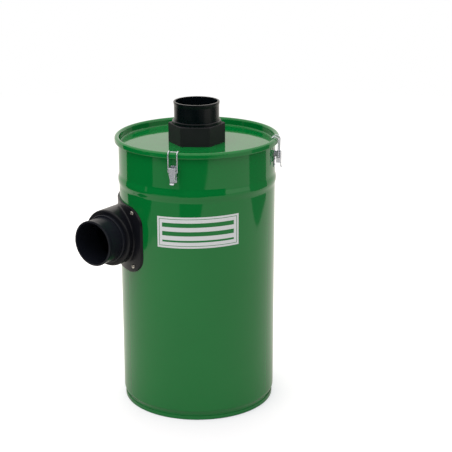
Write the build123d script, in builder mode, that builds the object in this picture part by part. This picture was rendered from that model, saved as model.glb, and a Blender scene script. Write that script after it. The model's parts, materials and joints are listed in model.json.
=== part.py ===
from build123d import *
from math import acos, atan, cos, degrees, radians, sin, sqrt
import os

# A drum cyclone separator: steel drum and latched lid, side inlet, top outlet. Millimetres.
# The origin is the centre of the drum's foot, +Z is up and -Y is the drum's front.
# An azimuth is a turn about +Z from the front, positive towards +X.

# Drum shell, rolled from sheet
drum_r = 172.5
drum_sheet = 1.2
rim_top_z = 606.3
rim_curl_r = 3.3
rim_curl_turn = 270
bead_drop = 90.6
bead_height = 31.0
bead_proud = 2.4
neck_inset = 3.9
neck_top_z = 11.0
flare_r = 12.0

# Base pressing, seamed round the foot of the shell as a chime
base_sheet = 1.2
base_floor_z = 7.0
base_floor_bend = 3.0
chime_bend = 0.9
chime_top_z = 9.4
seam_gap = 0.05
seam_floor_gap = 0.4

# Lid, a dished pressing whose curl wraps the drum's rim
lid_sheet = 1.0
lid_gap = 0.4
lid_dish = 17.0
lid_panel_bend = 4.0
lid_curl_room = 1.1
lid_skirt = 4.7
lid_tuck_turn = 20
seal_thick = 3.5
seal_low_drop = 0.4
seal_gap = 0.05

# Port spigots for a 100 mm hose, the same moulding at the inlet and the outlet
spigot_r = 49.3
spigot_wall = 3.0
spigot_length = 47.6
spigot_tail = 22.0
lip_step = 1.1
lip_height = 3.0
lip_flare = 6.0
lip_round = 0.8
collar_step = 4.2
collar_height = 7.0
collar_round = 2.5
socket_gap = 0.1

# Outlet block on the lid
hex_wall = 5.1
hex_height = 42.7
hex_azimuth = -3.8
hex_corner_round = 4.0
hex_top_round = 1.5
hex_tail = 18.0
hex_tail_wall = 3.6
hex_hole_gap = 0.3
nut_rim = 9.0
nut_height = 10.0
nut_gap = 0.1
nut_notches = 6
nut_notch_width = 10.0
nut_notch_depth = 4.0

# Side inlet: a port axis that misses the drum's axis, and a flange curved to the wall
port_z = 399.5
port_azimuth = -37.3
port_side_room = 4.3
port_stand = 16.5
port_hole_gap = 0.7
boss_rim = 13.6
boss_wall = 5.5
boss_round = 4.5
boss_web = 25.0
boss_foot_round = 3.0
flange_turn = 43.7
flange_half_angle = 38.0
flange_rim = 11.5
flange_thick = 4.5
flange_corner = 39.0
flange_edge_round = 1.2
flange_gap = 0.2

# Toggle latches, set out from the drum's wall, the lid's top and the pivot pin
latch_azimuths = (-16.2, 77, 188)
pivot_out = 10.3
pivot_drop = 33.6
pin_r = 1.2
pin_fit = 0.05
head_step = 1.0
head_cap = 0.85
head_gap = 0.1
plate_sheet = 1.5
plate_side = 1.3
plate_below = 31.5
plate_above = 5.5
plate_corner = 2.0
plate_gap = 0.1
ear_half = 5.2
ear_sheet = 1.0
ear_rim = 1.5
ear_root_below = 9.5
lever_sheet = 1.0
lever_side_gap = 1.1
lever_back = 4.9
lever_front = 5.2
lever_above = 2.8
lever_taper_below = 10.5
lever_below = 21.5
lever_taper_in = 2.0
lever_bend = 1.4
tab_side_in = 2.7
tab_curl_r = 7.0
tab_curl_turn = 50
tab_drop = 5.5
tab_corner = 2.2
bail_wire_r = 1.25
bail_side = 2.4
bail_pivot_out = -0.5
bail_pivot_drop = 7.7
bail_tip_in = 1.3
bail_bend = 2.5
hook_gap = 1.3
hook_end_angle = 130

# Worked out from the sizes above
wall_mid = drum_r - drum_sheet / 2
wall_in = drum_r - drum_sheet
neck_r = drum_r - neck_inset
neck_mid = neck_r - drum_sheet / 2
neck_in = neck_r - drum_sheet
flare_turn = degrees(acos(1 - (wall_mid - neck_mid) / (2 * flare_r)))
bead_mid_z = rim_top_z - bead_drop
bead_turn = 2 * degrees(atan(2 * bead_proud / bead_height))
bead_r = bead_height / (4 * sin(radians(bead_turn)))
rim_mid_r = rim_curl_r - drum_sheet / 2
rim_z = rim_top_z - rim_curl_r
rim_centre = wall_mid + rim_mid_r
base_in_mid = neck_in - seam_gap - base_sheet / 2
base_out_mid = neck_r + seam_gap + base_sheet / 2
lid_wall_mid = wall_in - lid_gap - lid_sheet / 2
lid_curl_r = rim_curl_r + lid_curl_room + lid_sheet
lid_curl_mid_r = lid_curl_r - lid_sheet / 2
lid_top_z = rim_top_z + seal_thick + lid_sheet
lid_curl_z = lid_top_z - lid_curl_r
lid_curl_centre = lid_wall_mid + lid_curl_mid_r
lid_panel_z = lid_top_z - lid_dish
lid_low_z = lid_panel_z - lid_sheet
seal_low_z = lid_curl_z - seal_low_drop
spigot_bore_r = spigot_r - spigot_wall
lip_r = spigot_r + lip_step
collar_r = spigot_r + collar_step
socket_r = spigot_r + socket_gap
hex_half = socket_r + hex_wall
hex_tail_r = socket_r + hex_tail_wall
hex_top_z = lid_panel_z + hex_height
lid_hole_r = hex_tail_r + hex_hole_gap
nut_r = hex_tail_r + nut_rim
port_face = drum_r + port_stand
port_hole_r = spigot_r + port_hole_gap
boss_r = socket_r + boss_rim
port_offset = drum_r - boss_r - port_side_room
flange_azimuth = port_azimuth - flange_turn
flange_height = 2 * (boss_r + flange_rim)
saddle_in_r = drum_r + flange_gap
saddle_out_r = saddle_in_r + flange_thick
pivot_r = drum_r + pivot_out
pivot_z = lid_top_z - pivot_drop
head_r = pin_r + head_step
ear_r = pin_r + ear_rim
ear_root_low_z = pivot_z - ear_root_below
plate_half = ear_half + plate_side
plate_low_z = pivot_z - plate_below
plate_high_z = pivot_z + plate_above
lever_half = ear_half + lever_side_gap + lever_sheet
lever_in_r = pivot_r - lever_back
lever_out_r = pivot_r + lever_front
lever_top_z = pivot_z + lever_above
lever_taper_z = pivot_z - lever_taper_below
lever_low_z = pivot_z - lever_below
lever_low_half = lever_half - lever_taper_in
tab_half = lever_half - tab_side_in
head_half = lever_half + head_cap
bail_pivot_r = pivot_r + bail_pivot_out
bail_pivot_z = pivot_z - bail_pivot_drop
bail_half = lever_half + bail_side
bail_tip_half = lever_half - bail_tip_in
far_out = 2 * drum_r
up = Vector(0, 0, 1)


def outward(azimuth):
    return Vector(sin(radians(azimuth)), -cos(radians(azimuth)), 0)


def save(piece, name):
    piece.part.label = name
    export_step(piece.part, f"parts/{name}.step")


os.makedirs("parts", exist_ok=True)

port_way = outward(port_azimuth)
port_foot = outward(port_azimuth - 90) * port_offset + up * port_z
port_plane = Plane(origin=port_foot, x_dir=up, z_dir=port_way)
port_face_plane = port_plane.offset(port_face)

with BuildPart() as drum_shell:
    with BuildSketch(Plane.XZ):
        with BuildLine():
            foot = Line((neck_mid, base_sheet + seam_floor_gap), (neck_mid, neck_top_z))
            flare_out = JernArc(foot @ 1, (0, 1), flare_r, -flare_turn)
            flare_back = JernArc(flare_out @ 1, flare_out % 1, flare_r, flare_turn)
            wall = Line(flare_back @ 1, (wall_mid, bead_mid_z - bead_height / 2))
            bead_out = JernArc(wall @ 1, (0, 1), bead_r, -bead_turn)
            bead_crest = JernArc(bead_out @ 1, bead_out % 1, bead_r, 2 * bead_turn)
            bead_back = JernArc(bead_crest @ 1, bead_crest % 1, bead_r, -bead_turn)
            upper_wall = Line(bead_back @ 1, (wall_mid, rim_z))
            rim_curl = JernArc(upper_wall @ 1, (0, 1), rim_mid_r, -rim_curl_turn)
        trace(line_width=drum_sheet)
    revolve(axis=Axis.Z)
    with BuildSketch(port_plane):
        Circle(port_hole_r)
    extrude(amount=far_out, mode=Mode.SUBTRACT)
save(drum_shell, "drum_shell")

with BuildPart() as drum_base:
    with BuildSketch(Plane.XZ):
        with BuildLine():
            floor_mid_z = base_floor_z + base_sheet / 2
            FilletPolyline(
                (0, floor_mid_z),
                (base_in_mid, floor_mid_z),
                (base_in_mid, base_sheet / 2),
                (base_out_mid, base_sheet / 2),
                (base_out_mid, chime_top_z),
                radius=(base_floor_bend, chime_bend, chime_bend),
            )
        trace(line_width=base_sheet)
    revolve(axis=Axis.Z)
save(drum_base, "drum_base")

with BuildPart() as lid:
    with BuildSketch(Plane.XZ):
        with BuildLine():
            panel_mid_z = lid_panel_z - lid_sheet / 2
            dish = FilletPolyline(
                (lid_hole_r, panel_mid_z),
                (lid_wall_mid, panel_mid_z),
                (lid_wall_mid, lid_curl_z),
                radius=lid_panel_bend,
            )
            over_rim = JernArc(dish @ 1, (0, 1), lid_curl_mid_r, -180)
            skirt = Line(over_rim @ 1, over_rim @ 1 - Vector(0, lid_skirt))
            JernArc(skirt @ 1, (0, -1), lid_curl_mid_r, -lid_tuck_turn)
        trace(line_width=lid_sheet)
    revolve(axis=Axis.Z)
save(lid, "lid")

# The seal fills the crescent between the lid's curl and the rim's curl.
with BuildPart() as lid_seal:
    with BuildSketch(Plane.XZ):
        with Locations((lid_curl_centre, lid_curl_z)):
            Circle(lid_curl_r - lid_sheet - seal_gap)
        with Locations((rim_centre, rim_z)):
            Circle(rim_curl_r + seal_gap, mode=Mode.SUBTRACT)
        with Locations((lid_curl_centre, seal_low_z)):
            Rectangle(
                4 * lid_curl_r,
                2 * lid_curl_r,
                align=(Align.CENTER, Align.MAX),
                mode=Mode.SUBTRACT,
            )
    revolve(axis=Axis.Z)
save(lid_seal, "lid_seal")

with BuildPart() as outlet_hex:
    with BuildSketch(Plane.XY.offset(lid_panel_z)):
        RegularPolygon(hex_half, 6, major_radius=False, rotation=hex_azimuth)
    extrude(amount=hex_height)
    fillet(outlet_hex.edges().filter_by(Axis.Z), hex_corner_round)
    fillet(outlet_hex.faces().sort_by(Axis.Z)[-1].edges(), hex_top_round)
    with BuildSketch(Plane.XY.offset(lid_panel_z)):
        Circle(hex_tail_r)
    extrude(amount=-hex_tail)
    with BuildSketch(Plane.XY.offset(hex_top_z)):
        Circle(socket_r)
    extrude(amount=-hex_height - hex_tail, mode=Mode.SUBTRACT)
save(outlet_hex, "outlet_hex")

with BuildPart() as outlet_backnut:
    with BuildSketch(Plane.XY.offset(lid_low_z)):
        Circle(nut_r)
        Circle(hex_tail_r + nut_gap, mode=Mode.SUBTRACT)
        with PolarLocations(nut_r, nut_notches):
            Rectangle(2 * nut_notch_depth, nut_notch_width, mode=Mode.SUBTRACT)
    extrude(amount=-nut_height)
save(outlet_backnut, "outlet_backnut")

# The hole and cavity run through the boss, and a web at its face holds the spigot's tail.
with BuildPart() as inlet_saddle:
    flange_plane = Plane(origin=up * port_z, x_dir=up, z_dir=outward(flange_azimuth))
    with BuildSketch(flange_plane):
        flange_width = 2 * drum_r * sin(radians(flange_half_angle))
        RectangleRounded(flange_height, flange_width, flange_corner)
    extrude(amount=far_out)
    with BuildSketch(Plane.XY.offset(port_z - flange_height)):
        Circle(saddle_out_r)
    extrude(amount=2 * flange_height, mode=Mode.INTERSECT)
    flange_skin = inlet_saddle.faces().sort_by(Axis((0, 0, port_z), outward(flange_azimuth)))[-1]
    fillet(flange_skin.edges(), flange_edge_round)
    with BuildSketch(port_plane):
        Circle(boss_r)
    extrude(amount=port_face)
    boss_foot = inlet_saddle.edges(Select.NEW).sort_by(SortBy.LENGTH)[-1]
    fillet(boss_foot, boss_foot_round)
    with BuildSketch(Plane.XY.offset(port_z - flange_height)):
        Circle(saddle_in_r)
    extrude(amount=2 * flange_height, mode=Mode.SUBTRACT)
    fillet(inlet_saddle.faces().filter_by(port_face_plane).edges(), boss_round)
    with BuildSketch(port_face_plane):
        Circle(socket_r)
    extrude(amount=-far_out, mode=Mode.SUBTRACT)
    with BuildSketch(port_face_plane.offset(-boss_web)):
        Circle(boss_r - boss_wall)
    extrude(amount=-far_out, mode=Mode.SUBTRACT)
save(inlet_saddle, "inlet_saddle")

spigot_seats = {
    "inlet_spigot": port_face_plane,
    "outlet_spigot": Plane.XY.offset(hex_top_z),
}
for name, seat in spigot_seats.items():
    with BuildPart() as spigot:
        section_plane = Plane(
            origin=seat.origin, x_dir=seat.x_dir, z_dir=seat.x_dir.cross(seat.z_dir)
        )
        with BuildSketch(section_plane):
            with BuildLine():
                lower = Polyline(
                    (spigot_bore_r, -spigot_tail),
                    (spigot_r, -spigot_tail),
                    (spigot_r, 0),
                    (collar_r, 0),
                    (collar_r, collar_height - collar_round),
                )
                shoulder = JernArc(lower @ 1, (0, 1), collar_round, 90)
                tube = Polyline(
                    shoulder @ 1,
                    (spigot_r, collar_height),
                    (spigot_r, spigot_length - lip_height - lip_flare),
                    (lip_r, spigot_length - lip_height),
                    (lip_r, spigot_length - lip_round),
                )
                lip = JernArc(tube @ 1, (0, 1), lip_round, 90)
                Polyline(lip @ 1, (spigot_bore_r, spigot_length), lower @ 0)
            make_face()
        revolve(axis=Axis(seat.origin, seat.z_dir))
    save(spigot, name)

hook_r = lid_curl_r + hook_gap + bail_wire_r
to_pivot_r = bail_pivot_r - lid_curl_centre
to_pivot_z = bail_pivot_z - lid_curl_z
pivot_angle = degrees(atan(to_pivot_z / to_pivot_r))
pivot_distance = sqrt(to_pivot_r**2 + to_pivot_z**2)
hook_start_angle = pivot_angle + degrees(acos(hook_r / pivot_distance))

for number, azimuth in enumerate(latch_azimuths, 1):
    out_way = outward(azimuth)
    side_way = outward(azimuth + 90)
    side_plane = Plane(origin=(0, 0, 0), x_dir=out_way, z_dir=-side_way)
    front_plane = Plane(origin=(0, 0, 0), x_dir=side_way, z_dir=out_way)

    with BuildPart() as latch_plate:
        with BuildSketch(front_plane.offset(drum_r + plate_gap)):
            with Locations((0, (plate_low_z + plate_high_z) / 2)):
                RectangleRounded(2 * plate_half, plate_high_z - plate_low_z, plate_corner)
        extrude(amount=plate_sheet)
        with BuildSketch(side_plane):
            plate_out_r = drum_r + plate_gap + plate_sheet
            with Locations((pivot_r, pivot_z)):
                Circle(ear_r)
            with Locations((plate_out_r, ear_root_low_z)):
                ear_root_height = pivot_z + ear_r - ear_root_low_z
                Rectangle(plate_sheet, ear_root_height, align=(Align.MAX, Align.MIN))
            make_hull()
        extrude(amount=ear_half, both=True)
        with BuildSketch(side_plane):
            with Locations((plate_out_r, pivot_z)):
                Rectangle(far_out, far_out, align=(Align.MIN, Align.CENTER))
        extrude(amount=ear_half - ear_sheet, both=True, mode=Mode.SUBTRACT)
        with BuildSketch(side_plane):
            with Locations((pivot_r, pivot_z)):
                Circle(pin_r + pin_fit)
        extrude(amount=ear_half, both=True, mode=Mode.SUBTRACT)
    save(latch_plate, f"latch_plate_{number}")

    with BuildPart() as latch_pin:
        with BuildSketch(side_plane):
            with Locations((pivot_r, pivot_z)):
                Circle(head_r)
        extrude(amount=head_half, both=True)
        with BuildSketch(side_plane):
            with Locations((pivot_r, pivot_z)):
                Circle(2 * head_r)
                Circle(pin_r, mode=Mode.SUBTRACT)
        extrude(amount=lever_half + head_gap, both=True, mode=Mode.SUBTRACT)
    save(latch_pin, f"latch_pin_{number}")

    # The lever is a pressed cap, open towards the wall and at its top, with a finger tab.
    with BuildPart() as latch_lever:
        with BuildSketch(front_plane.offset(lever_in_r)):
            with BuildLine():
                Polyline(
                    (-lever_low_half, lever_low_z),
                    (lever_low_half, lever_low_z),
                    (lever_half, lever_taper_z),
                    (lever_half, lever_top_z),
                    (-lever_half, lever_top_z),
                    (-lever_half, lever_taper_z),
                    close=True,
                )
            make_face()
        extrude(amount=lever_out_r - lever_in_r)
        web = latch_lever.faces().sort_by(Axis((0, 0, 0), out_way))[-1]
        fillet(web.edges(), lever_bend)
        open_back = latch_lever.faces().sort_by(Axis((0, 0, 0), out_way))[0]
        offset(amount=-lever_sheet, openings=open_back)
        with BuildSketch(front_plane.offset(lever_in_r)):
            with Locations((0, lever_top_z)):
                Rectangle(2 * (lever_half - lever_sheet), 2 * lever_bend)
        extrude(amount=lever_out_r - lever_in_r - lever_bend, mode=Mode.SUBTRACT)
        with BuildSketch(side_plane):
            with BuildLine():
                tab_mid_r = lever_out_r - lever_sheet / 2
                tab_root = (tab_mid_r, lever_low_z + 2 * lever_bend)
                tab_neck = (tab_mid_r, lever_low_z - tab_drop)
                tab_line = Line(tab_root, tab_neck)
                JernArc(tab_line @ 1, (0, -1), tab_curl_r, tab_curl_turn)
            trace(line_width=lever_sheet)
        extrude(amount=tab_half, both=True)
        across_sheet = latch_lever.edges().filter_by(lambda edge: abs(edge.length - lever_sheet) < 0.001)
        fillet(across_sheet.sort_by(Axis.Z)[:2], tab_corner)
        with BuildSketch(side_plane):
            with Locations((pivot_r, pivot_z)):
                Circle(pin_r + pin_fit)
            with Locations((bail_pivot_r, bail_pivot_z)):
                Circle(bail_wire_r + pin_fit)
        extrude(amount=2 * lever_half, both=True, mode=Mode.SUBTRACT)
    save(latch_lever, f"latch_lever_{number}")

    # The bail is one bent wire: two legs, a hook over the rim on each, and a bar between.
    with BuildPart() as latch_bail:
        hook_centre = out_way * lid_curl_centre + up * lid_curl_z
        start_way = out_way * cos(radians(hook_start_angle)) + up * sin(radians(hook_start_angle))
        end_way = out_way * cos(radians(hook_end_angle)) + up * sin(radians(hook_end_angle))
        end_heading = up * cos(radians(hook_end_angle)) - out_way * sin(radians(hook_end_angle))
        pivot = out_way * bail_pivot_r + up * bail_pivot_z
        leg_top = hook_centre + start_way * hook_r
        leg_way = (leg_top - pivot).normalized()
        hook_end = hook_centre + end_way * hook_r
        leg_side = side_way * bail_half
        bend_side = side_way * (bail_half - bail_bend)
        with BuildLine() as wire:
            Line(pivot + side_way * bail_tip_half, pivot + bend_side)
            TangentArc(
                pivot + bend_side, pivot + leg_side + leg_way * bail_bend, tangent=side_way
            )
            Line(pivot + leg_side + leg_way * bail_bend, leg_top + leg_side)
            TangentArc(leg_top + leg_side, hook_end + leg_side, tangent=leg_way)
            bar_end = hook_end + end_heading * bail_bend + bend_side
            TangentArc(hook_end + leg_side, bar_end, tangent=end_heading)
            Line(bar_end, bar_end - bend_side)
            mirror(about=Plane(origin=(0, 0, 0), z_dir=side_way))
        with BuildSketch(Plane(origin=pivot + side_way * bail_tip_half, z_dir=side_way)):
            Circle(bail_wire_r)
        sweep(path=wire.wires()[0])
    save(latch_bail, f"latch_bail_{number}")
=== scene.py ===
import json
from math import atan2, cos, degrees, hypot, pi, radians, sin

import bmesh
import bpy
from mathutils import Matrix, Vector


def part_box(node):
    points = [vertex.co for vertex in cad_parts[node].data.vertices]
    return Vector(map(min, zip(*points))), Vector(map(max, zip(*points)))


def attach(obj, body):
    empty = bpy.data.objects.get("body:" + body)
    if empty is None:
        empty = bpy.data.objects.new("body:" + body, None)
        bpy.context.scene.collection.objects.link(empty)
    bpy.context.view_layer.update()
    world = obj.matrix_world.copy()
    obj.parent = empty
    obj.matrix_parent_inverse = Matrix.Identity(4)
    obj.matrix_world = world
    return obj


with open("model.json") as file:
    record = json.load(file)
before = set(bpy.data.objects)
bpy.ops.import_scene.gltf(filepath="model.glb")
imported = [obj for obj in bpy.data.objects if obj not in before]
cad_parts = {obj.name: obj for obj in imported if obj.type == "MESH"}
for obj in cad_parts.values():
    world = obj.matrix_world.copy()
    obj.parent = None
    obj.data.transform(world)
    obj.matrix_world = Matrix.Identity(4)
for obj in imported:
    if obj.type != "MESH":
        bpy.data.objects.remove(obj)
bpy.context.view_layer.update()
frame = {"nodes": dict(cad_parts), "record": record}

# A drum cyclone separator in metres. The drum stands on the origin with its front towards -Y,
# and an azimuth is a turn about +Z from the front, positive towards +X.
mounts = {mount["name"]: mount["pos_m"] for mount in frame["record"]["mounts"]}
hinges = {joint["name"]: joint["pos_m"] for joint in frame["record"]["behaviour"]["joints"]}
PORT_Z = mounts["inlet_bore"][2]
PLATE_FOOT_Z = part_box("latch_plate_1")[0].z
LATCH_AZIMUTHS = []
# A hinge's place is rounded, so its azimuth is rounded back to a tenth of a degree.
for number in (1, 2, 3):
    x, y, z = hinges[f"lever_{number}_hinge"]
    LATCH_AZIMUTHS.append(round(degrees(atan2(x, -y)), 1))

# The wall has no bead near the port, so its points there that are furthest out give its radius.
NEAR_PORT = 0.05
shell = frame["nodes"]["drum_shell"]
shell_points = [shell.matrix_world @ vertex.co for vertex in shell.data.vertices]
DRUM_R = round(max(hypot(p.x, p.y) for p in shell_points if abs(p.z - PORT_Z) < NEAR_PORT), 5)
BEAD_Z = 0.5157
BEAD_HEIGHT = 0.031
BEAD_PROUD = 0.0024
FLANGE_GAP = 0.0002
FLANGE_THICK = 0.0045
PLATE_GAP = 0.0001
PLATE_SHEET = 0.0015

# Camera
CAMERA_PLACE = (0, -2.8349, 1.2816)
CAMERA_TILT = 70.9
CAMERA_ROLL = -0.47
LENS_MM = 105.22
SENSOR_MM = 36
PHOTO_PIXELS = 452
SHIFT_PIXELS_X = 28.15
SHIFT_PIXELS_Y = 41.6

camera = bpy.data.objects.new("camera", bpy.data.cameras.new("camera"))
bpy.context.scene.collection.objects.link(camera)
camera.location = CAMERA_PLACE
tilt = Matrix.Rotation(radians(CAMERA_TILT), 4, "X")
roll = Matrix.Rotation(radians(CAMERA_ROLL), 4, "Z")
camera.rotation_euler = (tilt @ roll).to_euler()
camera.data.sensor_width = SENSOR_MM
camera.data.lens = LENS_MM
camera.data.shift_x = SHIFT_PIXELS_X / PHOTO_PIXELS
camera.data.shift_y = SHIFT_PIXELS_Y / PHOTO_PIXELS
bpy.context.scene.camera = camera
bpy.context.scene.view_settings.view_transform = "Standard"

# Helpers
SHARP_EDGE = 45


def outward(azimuth):
    """The level direction out of the drum at an azimuth."""
    return Vector((sin(radians(azimuth)), -cos(radians(azimuth)), 0))


def at(azimuth, radius, z):
    """A point at a distance from the drum's axis."""
    return outward(azimuth) * radius + Vector((0, 0, z))


def linear(srgb_hex):
    """A colour written as sRGB hex, in linear light."""
    parts = [int(srgb_hex[i:i + 2], 16) / 255 for i in (1, 3, 5)]
    return [p / 12.92 if p <= 0.04045 else ((p + 0.055) / 1.055) ** 2.4 for p in parts] + [1]


def every(millimetres):
    """The scale of a noise whose features are about so many millimetres apart."""
    return 1000 / millimetres


def add(tree, kind, links=None, **settings):
    """Adds one node: settings name its properties or its input sockets, links feed its inputs."""
    node = tree.nodes.new(kind)
    for key, value in settings.items():
        if hasattr(node, key):
            setattr(node, key, value)
        else:
            node.inputs[key.replace("_", " ")].default_value = value
    for socket, source in (links or {}).items():
        tree.links.new(source, node.inputs[socket])
    return node


def material(name, surface, **settings):
    """A material from a function that adds its nodes and gives back the last one."""
    mat = bpy.data.materials.new(name)
    mat.use_nodes = True
    tree = mat.node_tree
    tree.nodes.clear()
    last = surface(tree, **settings)
    add(tree, "ShaderNodeOutputMaterial", {"Surface": last.outputs[0]})
    return mat


def piece(name, shape, *finishes, slot=None):
    """A mesh object from a function that fills a bmesh. One without a slot is stage."""
    bm = bmesh.new()
    shape(bm)
    bmesh.ops.recalc_face_normals(bm, faces=bm.faces)
    mesh = bpy.data.meshes.new(name)
    bm.to_mesh(mesh)
    bm.free()
    mesh.shade_smooth()
    mesh.set_sharp_from_angle(angle=radians(SHARP_EDGE))
    for finish in finishes:
        mesh.materials.append(finish)
    obj = bpy.data.objects.new(name, mesh)
    bpy.context.scene.collection.objects.link(obj)
    if slot:
        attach(obj, "root")
    return obj


# Finishes
def stoving_enamel(tree):
    """Green enamel, sprayed on sheet steel and stoved.

    It has a wet shine over a faint orange peel, and the sheet keeps a slow upright ripple from
    the rolls.
    """
    place = add(tree, "ShaderNodeTexCoord").outputs["Object"]
    peel = add(tree, "ShaderNodeTexNoise", {"Vector": place}, Scale=every(2.5), Detail=1)
    rolled = add(
        tree, "ShaderNodeMapping", {"Vector": place}, Scale=(every(33), every(33), every(330))
    )
    ripple = add(tree, "ShaderNodeTexNoise", {"Vector": rolled.outputs[0]}, Scale=1, Detail=1)
    ripple_bump = add(
        tree, "ShaderNodeBump", {"Height": ripple.outputs[0]}, Strength=1, Distance=0.00012
    )
    peel_bump = add(
        tree, "ShaderNodeBump", {"Height": peel.outputs[0], "Normal": ripple_bump.outputs[0]},
        Strength=0.5, Distance=0.000012,
    )
    tone = add(tree, "ShaderNodeTexNoise", {"Vector": place}, Scale=every(170), Detail=3)
    green = add(tree, "ShaderNodeValToRGB", {"Fac": tone.outputs[0]})
    green.color_ramp.elements[0].color = linear("#00652A")
    green.color_ramp.elements[1].color = linear("#046D2E")
    shine = add(
        tree, "ShaderNodeMapRange", {"Value": tone.outputs[0]},
        From_Min=0.3, From_Max=0.7, To_Min=0.05, To_Max=0.08,
    )
    return add(
        tree, "ShaderNodeBsdfPrincipled",
        {"Base Color": green.outputs[0], "Roughness": shine.outputs[0], "Normal": peel_bump.outputs[0]},
        IOR=1.5,
    )


def moulded(tree, deep, pale, smoothest, roughest, grain_mm, grain_depth, specular):
    """A black moulding: a fine grain from the tool, and a skin that is shinier in some places.

    The real grain is too fine to show, so it is drawn coarser.
    """
    place = add(tree, "ShaderNodeTexCoord").outputs["Object"]
    grain = add(tree, "ShaderNodeTexNoise", {"Vector": place}, Scale=every(grain_mm), Detail=2)
    bump = add(
        tree, "ShaderNodeBump", {"Height": grain.outputs[0]}, Strength=0.6, Distance=grain_depth
    )
    flow = add(tree, "ShaderNodeTexNoise", {"Vector": place}, Scale=every(40), Detail=3)
    tone = add(tree, "ShaderNodeValToRGB", {"Fac": flow.outputs[0]})
    tone.color_ramp.elements[0].color = linear(deep)
    tone.color_ramp.elements[1].color = linear(pale)
    skin = add(
        tree, "ShaderNodeMapRange", {"Value": flow.outputs[0]},
        From_Min=0.3, From_Max=0.7, To_Min=smoothest, To_Max=roughest,
    )
    return add(
        tree, "ShaderNodeBsdfPrincipled",
        {"Base Color": tone.outputs[0], "Roughness": skin.outputs[0], "Normal": bump.outputs[0]},
        IOR=1.5, Specular_IOR_Level=specular,
    )


def zinc_plate(tree):
    """Bright zinc plate on pressed steel: a cool grey shine, patchy where the plating is thin."""
    place = add(tree, "ShaderNodeTexCoord").outputs["Object"]
    patch = add(tree, "ShaderNodeTexNoise", {"Vector": place}, Scale=every(7), Detail=3)
    tone = add(tree, "ShaderNodeValToRGB", {"Fac": patch.outputs[0]})
    tone.color_ramp.elements[0].position = 0.3
    tone.color_ramp.elements[1].position = 0.7
    tone.color_ramp.elements[0].color = linear("#D6DAE4")
    tone.color_ramp.elements[1].color = linear("#E4E8F0")
    dull = add(
        tree, "ShaderNodeMapRange", {"Value": patch.outputs[0]},
        From_Min=0.3, From_Max=0.7, To_Min=0.22, To_Max=0.32,
    )
    dents = add(tree, "ShaderNodeBump", {"Height": patch.outputs[0]}, Strength=0.3, Distance=0.00001)
    return add(
        tree, "ShaderNodeBsdfPrincipled",
        {"Base Color": tone.outputs[0], "Roughness": dull.outputs[0], "Normal": dents.outputs[0]},
        Metallic=0.8,
    )


def stainless_steel(tree):
    """Stainless steel, cold headed: smooth and slightly warm, with faint marks from the die."""
    place = add(tree, "ShaderNodeTexCoord").outputs["Object"]
    marks = add(tree, "ShaderNodeTexNoise", {"Vector": place}, Scale=every(1.1), Detail=2)
    dull = add(
        tree, "ShaderNodeMapRange", {"Value": marks.outputs[0]},
        From_Min=0.3, From_Max=0.7, To_Min=0.2, To_Max=0.32,
    )
    return add(
        tree, "ShaderNodeBsdfPrincipled", {"Roughness": dull.outputs[0]},
        Base_Color=linear("#D2CEC6"), Metallic=1,
    )


def vinyl_film(tree, deep, pale):
    """Printed vinyl film: a soft shine over a fine grain, drawn coarser than the real one."""
    place = add(tree, "ShaderNodeTexCoord").outputs["Object"]
    grain = add(tree, "ShaderNodeTexNoise", {"Vector": place}, Scale=every(1.4), Detail=2)
    tone = add(tree, "ShaderNodeValToRGB", {"Fac": grain.outputs[0]})
    tone.color_ramp.elements[0].color = linear(deep)
    tone.color_ramp.elements[1].color = linear(pale)
    bump = add(tree, "ShaderNodeBump", {"Height": grain.outputs[0]}, Strength=0.3, Distance=0.00001)
    return add(
        tree, "ShaderNodeBsdfPrincipled", {"Base Color": tone.outputs[0], "Normal": bump.outputs[0]},
        Roughness=0.3, IOR=1.46,
    )


enamel = material("green_stoving_enamel", stoving_enamel)
# Black ABS, injection moulded in a polished tool: deep black with a soft shine.
outlet_abs = material(
    "black_polished_abs", moulded, deep="#02080B", pale="#040B0F",
    smoothest=0.19, roughest=0.29, grain_mm=0.8, grain_depth=0.000004, specular=0.3,
)
# The same ABS on the side port, with its colour painted a little lighter than the outlet's: painted
# light, for the light the side port and its mouth catch.
inlet_abs = material(
    "black_abs_painted_lighter", moulded, deep="#12141B", pale="#181A21",
    smoothest=0.25, roughest=0.35, grain_mm=0.8, grain_depth=0.000004, specular=0.2,
)
# Black ABS from a tool with a fine spark-eroded texture: satin, so its edges catch the light.
saddle_abs = material(
    "black_textured_abs", moulded, deep="#0D0E13", pale="#121319",
    smoothest=0.29, roughest=0.39, grain_mm=0.7, grain_depth=0.00001, specular=0.27,
)
# Glass-filled nylon, moulded thick: matt and faintly grey.
hex_nylon = material(
    "black_glass_filled_nylon", moulded, deep="#161619", pale="#1E1E22",
    smoothest=0.49, roughest=0.61, grain_mm=0.9, grain_depth=0.00002, specular=0.35,
)
# EPDM seal rubber: matt black.
seal_epdm = material(
    "black_epdm_rubber", moulded, deep="#0C0C0C", pale="#141414",
    smoothest=0.75, roughest=0.85, grain_mm=0.6, grain_depth=0.00001, specular=0.3,
)
zinc = material("bright_zinc_plated_steel", zinc_plate)
stainless = material("cold_headed_stainless_steel", stainless_steel)
silver_film = material("silver_grey_vinyl_film", vinyl_film, deep="#C6C9CC", pale="#CED0D3")
green_film = material("green_printed_vinyl_film", vinyl_film, deep="#0A6A2E", pale="#0E7032")

slot_finishes = {
    "green_paint": enamel,
    "seal_rubber": seal_epdm,
    "matt_black_plastic": hex_nylon,
    "black_plastic": outlet_abs,
    "zinc_plate": zinc,
}
inlet_finishes = {"inlet_saddle": saddle_abs, "inlet_spigot": inlet_abs}
for part in frame["record"]["subparts"]:
    finish = inlet_finishes.get(part["node"], slot_finishes[part["material_slot"]])
    for slot in frame["nodes"][part["node"]].material_slots:
        slot.link = "OBJECT"
        slot.material = finish


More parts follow.
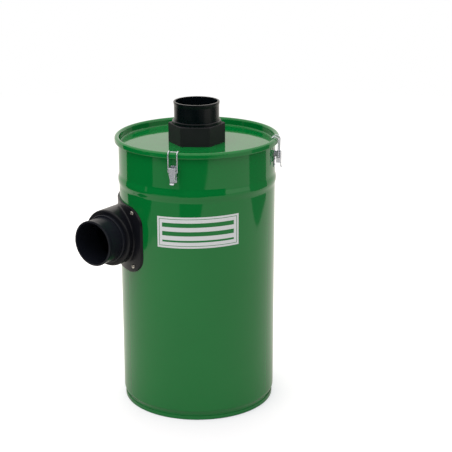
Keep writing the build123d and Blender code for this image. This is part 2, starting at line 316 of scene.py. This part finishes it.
# Screws and rivets
def seat(azimuth, radius, z):
    """Turns a piece made along +Z so that it stands out of the drum's wall."""
    turn = Matrix((outward(azimuth + 90), Vector((0, 0, 1)), outward(azimuth))).transposed()
    return Matrix.Translation(at(azimuth, radius, z)) @ turn.to_4x4()


def round_head(bm, place, rings, segments, height):
    """A round head, with a height at each radius and angle, closed at its foot."""
    top = bm.verts.new(place @ Vector((0, 0, height(0, 0))))
    last = None
    for radius in rings:
        ring = []
        for k in range(segments):
            angle = 2 * pi * k / segments
            point = Vector((radius * cos(angle), radius * sin(angle), height(radius, angle)))
            ring.append(bm.verts.new(place @ point))
        for k in range(segments):
            j = (k + 1) % segments
            if last is None:
                bm.faces.new((top, ring[k], ring[j]))
            else:
                bm.faces.new((last[k], ring[k], ring[j], last[j]))
        last = ring
    bm.faces.new(last)


# A pan head with a cross recess, its edge sunk into the flange.
SCREW_R = 0.0045
SCREW_HEIGHT = 0.003
SCREW_SUNK = 0.0006
SCREW_RINGS = 22
SCREW_SEGMENTS = 64
RECESS_REACH = 0.0024
RECESS_HALF = 0.0006
RECESS_DEPTH = 0.0016
# Each screw is turned by this many times its azimuth, so that the recesses left and right of the
# port stand differently.
RECESS_TURN = 7
# The azimuth of each screw, and its rise over the port's axis.
FLANGE_SCREWS = ((-52.7, 0.0628), (-52.4, -0.0582), (-109.3, 0.0628), (-109.6, -0.0582))


def screw_height(radius, angle):
    if radius >= SCREW_R:
        return -SCREW_SUNK
    height = SCREW_HEIGHT * (1 - (radius / SCREW_R) ** 4) ** 0.5
    across, along = sorted((abs(radius * cos(angle)), abs(radius * sin(angle))))
    if across < RECESS_HALF and along < RECESS_REACH:
        floor_shape = (1 - (along / RECESS_REACH) ** 2) ** 0.5
        wall_shape = 1 - (across / RECESS_HALF) ** 4
        height -= RECESS_DEPTH * floor_shape * wall_shape
    return height


screw_rings = [SCREW_R * k / SCREW_RINGS for k in range(1, SCREW_RINGS + 1)]
for number, (azimuth, rise) in enumerate(FLANGE_SCREWS, 1):
    place = seat(azimuth, DRUM_R + FLANGE_GAP + FLANGE_THICK, PORT_Z + rise)
    place @= Matrix.Rotation(radians(azimuth * RECESS_TURN), 4, "Z")
    piece(
        f"flange_screw_{number}",
        lambda bm: round_head(bm, place, screw_rings, SCREW_SEGMENTS, screw_height),
        stainless,
        slot="zinc_plate",
    )

# A rivet's head, a low dome with its edge sunk into the latch plate.
RIVET_R = 0.0026
RIVET_HEIGHT = 0.0013
RIVET_SUNK = 0.0004
RIVET_RINGS = 15
RIVET_SEGMENTS = 48
# The rise of each rivet over the foot of its plate.
RIVET_RISES = (0.0045, 0.0175)


def rivet_height(radius, angle):
    if radius >= RIVET_R:
        return -RIVET_SUNK
    return RIVET_HEIGHT * (1 - (radius / RIVET_R) ** 2) ** 0.5


rivet_rings = [RIVET_R * sin(pi / 2 * k / RIVET_RINGS) for k in range(1, RIVET_RINGS + 1)]
for number, azimuth in enumerate(LATCH_AZIMUTHS, 1):
    for rise in RIVET_RISES:
        z = PLATE_FOOT_Z + rise
        place = seat(azimuth, DRUM_R + PLATE_GAP + PLATE_SHEET, z)
        piece(
            f"latch_rivet_{number}_{int(z * 1000)}",
            lambda bm: round_head(bm, place, rivet_rings, RIVET_SEGMENTS, rivet_height),
            zinc,
            slot="zinc_plate",
        )


# The upright seam weld at the back, a low ridge with a ripple at each weld spot.
WELD_AZIMUTH = 180
WELD_LOW, WELD_TOP = 0.026, 0.594
WELD_HALF_ANGLE = 0.75
WELD_HEIGHT = 0.00045
WELD_SUNK = 0.0002
WELD_RIPPLE = 0.25
WELD_PITCH = 0.006
WELD_STEPS = 380
WELD_STRIPS = 8


def wall_radius(z):
    """The outside of the drum's wall, with its bead."""
    if abs(z - BEAD_Z) < BEAD_HEIGHT / 2:
        return DRUM_R + BEAD_PROUD * cos(pi * (z - BEAD_Z) / BEAD_HEIGHT) ** 2
    return DRUM_R


def weld_seam(bm):
    rows = []
    for k in range(WELD_STEPS + 1):
        z = WELD_LOW + (WELD_TOP - WELD_LOW) * k / WELD_STEPS
        crest = WELD_HEIGHT * (1 + WELD_RIPPLE * sin(2 * pi * z / WELD_PITCH))
        row = []
        for j in range(WELD_STRIPS + 1):
            side = 2 * j / WELD_STRIPS - 1
            rise = crest * (1 - side * side) if abs(side) < 1 else -WELD_SUNK
            azimuth = WELD_AZIMUTH + side * WELD_HALF_ANGLE
            row.append(bm.verts.new(at(azimuth, wall_radius(z) + rise, z)))
        rows.append(row)
    for low, high in zip(rows, rows[1:]):
        for a, b, c, d in zip(low, low[1:] + low[:1], high[1:] + high[:1], high):
            bm.faces.new((a, b, c, d))
    bm.faces.new(rows[0])
    bm.faces.new(rows[-1])


piece("wall_seam_weld", weld_seam, enamel, slot="green_paint")

# The decal, a plain film with a keyline and three bands. Each band has its low and high edge,
# from the film's low edge.
DECAL_LEFT, DECAL_RIGHT = -29.7, 30.4
DECAL_LOW, DECAL_HIGH = 0.4003, 0.469
DECAL_TILT = 0.0043
DECAL_PROUD = 0.00015
DECAL_FILM = 0.0001
DECAL_COLUMNS = 72
KEYLINE_IN = 0.0042
KEYLINE_WIDTH = 0.0012
BAND_IN = 0.0115
BANDS = ((0.0460, 0.0555), (0.0270, 0.0365), (0.0130, 0.0173))


def decal(bm):
    per_degree = radians(1) * DRUM_R
    width = (DECAL_RIGHT - DECAL_LEFT) * per_degree
    height = DECAL_HIGH - DECAL_LOW
    line_in = KEYLINE_IN + KEYLINE_WIDTH

    def within(x, z, inset):
        return inset < x < width - inset and inset < z < height - inset

    def printed(x, z):
        keyline = within(x, z, KEYLINE_IN) and not within(x, z, line_in)
        band = BAND_IN < x < width - BAND_IN and any(low < z < high for low, high in BANDS)
        return keyline or band

    xs = {width * k / DECAL_COLUMNS for k in range(DECAL_COLUMNS + 1)}
    zs = {0, height}
    for inset in (KEYLINE_IN, line_in, BAND_IN):
        xs |= {inset, width - inset}
    for inset in (KEYLINE_IN, line_in):
        zs |= {inset, height - inset}
    for band in BANDS:
        zs |= set(band)
    xs, zs = sorted(xs), sorted(zs)

    grid = {}
    for i, x in enumerate(xs):
        for j, z in enumerate(zs):
            rise = DECAL_LOW + z + DECAL_TILT * x / width
            azimuth = DECAL_LEFT + x / per_degree
            grid[i, j] = bm.verts.new(at(azimuth, DRUM_R + DECAL_PROUD, rise))
    for i in range(len(xs) - 1):
        for j in range(len(zs) - 1):
            corners = (grid[i, j], grid[i + 1, j], grid[i + 1, j + 1], grid[i, j + 1])
            middle_x = (xs[i] + xs[i + 1]) / 2
            middle_z = (zs[j] + zs[j + 1]) / 2
            bm.faces.new(corners).material_index = int(printed(middle_x, middle_z))
    bmesh.ops.recalc_face_normals(bm, faces=bm.faces)
    bmesh.ops.solidify(bm, geom=bm.faces[:], thickness=DECAL_FILM)


piece("front_decal", decal, silver_film, green_film, slot="green_paint")

# Studio floor
FLOOR_Z = -0.0002
FLOOR_CORNERS = ((-15, -8), (15, -8), (15, 22), (-15, 22))
FADE_START, FADE_END = 1.2, 3.5


def paper_floor(tree):
    """Warm white paper with painted shade: dimmer on the camera's side, where less light falls.

    The camera sees it a little brighter, and away from the drum it fades to plain white, so that
    it runs into the white background and no horizon shows.
    """
    ray = add(tree, "ShaderNodeLightPath")
    place = add(tree, "ShaderNodeTexCoord").outputs["Object"]
    heading = add(tree, "ShaderNodeVectorMath", {0: place}, operation="NORMALIZE")
    heading_parts = add(tree, "ShaderNodeSeparateXYZ", {"Vector": heading.outputs[0]})
    rearward = add(
        tree, "ShaderNodeMapRange", {"Value": heading_parts.outputs["Y"]}, From_Min=-1, From_Max=1
    )
    # Painted shade: the paper's colour runs darker towards the camera's side.
    shade = add(tree, "ShaderNodeValToRGB", {"Fac": rearward.outputs[0]})
    shade.color_ramp.elements[0].color = linear("#C3BEB8")
    shade.color_ramp.elements[1].color = linear("#F2EDE4")
    lit = add(tree, "ShaderNodeBsdfDiffuse", {"Color": shade.outputs[0]})
    glow = add(
        tree, "ShaderNodeEmission", {"Strength": ray.outputs["Is Camera Ray"]},
        Color=linear("#AAADB6"),
    )
    paper = add(tree, "ShaderNodeAddShader", {0: lit.outputs[0], 1: glow.outputs[0]})
    distance = add(tree, "ShaderNodeVectorMath", {0: place}, operation="LENGTH")
    fade = add(
        tree, "ShaderNodeMapRange", {"Value": distance.outputs["Value"]},
        From_Min=FADE_START, From_Max=FADE_END,
    )
    faded = add(
        tree, "ShaderNodeMath", {0: ray.outputs["Is Camera Ray"], 1: fade.outputs[0]},
        operation="MULTIPLY",
    )
    white = add(tree, "ShaderNodeEmission", Color=linear("#FFFFFF"), Strength=1)
    return add(
        tree, "ShaderNodeMixShader", {0: faded.outputs[0], 1: paper.outputs[0], 2: white.outputs[0]}
    )


def floor_shape(bm):
    bm.faces.new([bm.verts.new((x, y, FLOOR_Z)) for x, y in FLOOR_CORNERS])


piece("floor", floor_shape, material("warm_white_paper_floor", paper_floor))

# Studio screens, which only the paint and the plastics mirror. Each is the studio's own floor past
# the edge of the paper, out to the wall, and the wall. The edge is a list of azimuths, each with its
# distance from the drum, and a screen in a higher layer lies on those below it.
WALL_REACH = 4.5
WALL_TOP = 2.4
LAYER = 0.001
LEFT_EDGE = (
    (-121, 2.0), (-116, 1.55), (-105, 1.36), (-95, 1.28), (-86, 1.26),
    (-80, 1.34), (-75, 1.58), (-69, 1.74), (-65, 2.0),
)
FRONT_LEFT_EDGE = ((-79, 1.3), (-65, 1.45), (-45, 1.55), (-25, 1.5))
FRONT_EDGE = ((-25, 1.5), (-12, 1.55), (3, 1.66), (10, 2.05), (15, 2.3))
FAR_FRONT_EDGE = ((-75, 2.8), (-15, 2.8), (40, 2.8))
RIGHT_EDGE = ((79, 2.1), (83, 1.8), (88, 1.58), (93, 1.5), (98, 1.52), (108, 1.65), (117, 1.8))


def studio_wall(tree, shade):
    """A plain studio surface at one level of light."""
    return add(tree, "ShaderNodeEmission", Color=linear(shade), Strength=1)


def screen(name, finish, edge, layer):
    def shape(bm):
        low = layer * LAYER
        rows = []
        for azimuth, reach in edge:
            corners = ((reach, low), (WALL_REACH, low), (WALL_REACH, WALL_TOP))
            rows.append([bm.verts.new(at(azimuth, radius, z)) for radius, z in corners])
        for left, right in zip(rows, rows[1:]):
            for k in (0, 1):
                bm.faces.new((left[k], right[k], right[k + 1], left[k + 1]))

    obj = piece(name, shape, finish)
    obj.visible_camera = False
    obj.visible_diffuse = False
    obj.visible_shadow = False
    obj.visible_transmission = False


dark_wall = material("dark_studio_wall", studio_wall, shade="#202420")
grey_wall = material("grey_studio_wall", studio_wall, shade="#424642")
dim_wall = material("dim_studio_wall", studio_wall, shade="#6C706C")
pale_wall = material("pale_studio_wall", studio_wall, shade="#AEB2AD")
screen("studio_left", dark_wall, LEFT_EDGE, layer=2)
screen("studio_front_left", pale_wall, FRONT_LEFT_EDGE, layer=1)
screen("studio_front", grey_wall, FRONT_EDGE, layer=1)
screen("studio_far_front", dark_wall, FAR_FRONT_EDGE, layer=2)
screen("studio_right", dim_wall, RIGHT_EDGE, layer=1)


# Light
AIM = Vector((0, 0, 0.4))


def white_studio():
    """White all round: plain white to the camera, warm in a shine, a little under 1 as light."""
    world = bpy.data.worlds.new("white_studio")
    world.use_nodes = True
    tree = world.node_tree
    tree.nodes.clear()
    ray = add(tree, "ShaderNodeLightPath")
    seen = add(
        tree, "ShaderNodeMath",
        {0: ray.outputs["Is Camera Ray"], 1: ray.outputs["Is Transmission Ray"]},
        operation="MAXIMUM",
    )
    around = add(tree, "ShaderNodeBackground", Color=linear("#FFFFFF"), Strength=0.95)
    white = add(tree, "ShaderNodeBackground", Color=linear("#FFFFFF"), Strength=1)
    warm = add(tree, "ShaderNodeBackground", Color=linear("#FFFAF3"), Strength=1)
    plain = add(
        tree, "ShaderNodeMixShader", {0: seen.outputs[0], 1: around.outputs[0], 2: white.outputs[0]}
    )
    mirrored = add(
        tree, "ShaderNodeMixShader",
        {0: ray.outputs["Is Glossy Ray"], 1: plain.outputs[0], 2: warm.outputs[0]},
    )
    add(tree, "ShaderNodeOutputWorld", {"Surface": mirrored.outputs[0]})
    return world


def softbox(name, spot, size, watts):
    """A soft lamp aimed at the middle of the drum, which shows in no shine."""
    light = bpy.data.lights.new(name, "AREA")
    light.shape = "RECTANGLE"
    light.size, light.size_y = size
    light.energy = watts
    obj = bpy.data.objects.new(name, light)
    bpy.context.scene.collection.objects.link(obj)
    obj.location = spot
    obj.rotation_euler = (AIM - obj.location).to_track_quat("-Z", "Y").to_euler()
    obj.visible_camera = False
    obj.visible_glossy = False


bpy.context.scene.world = white_studio()
softbox("softbox_above", (-0.6, -0.8, 3.2), size=(2.4, 2.4), watts=45)
softbox("softbox_left", (-2.6, -2.2, 1.8), size=(1.6, 2.0), watts=7)
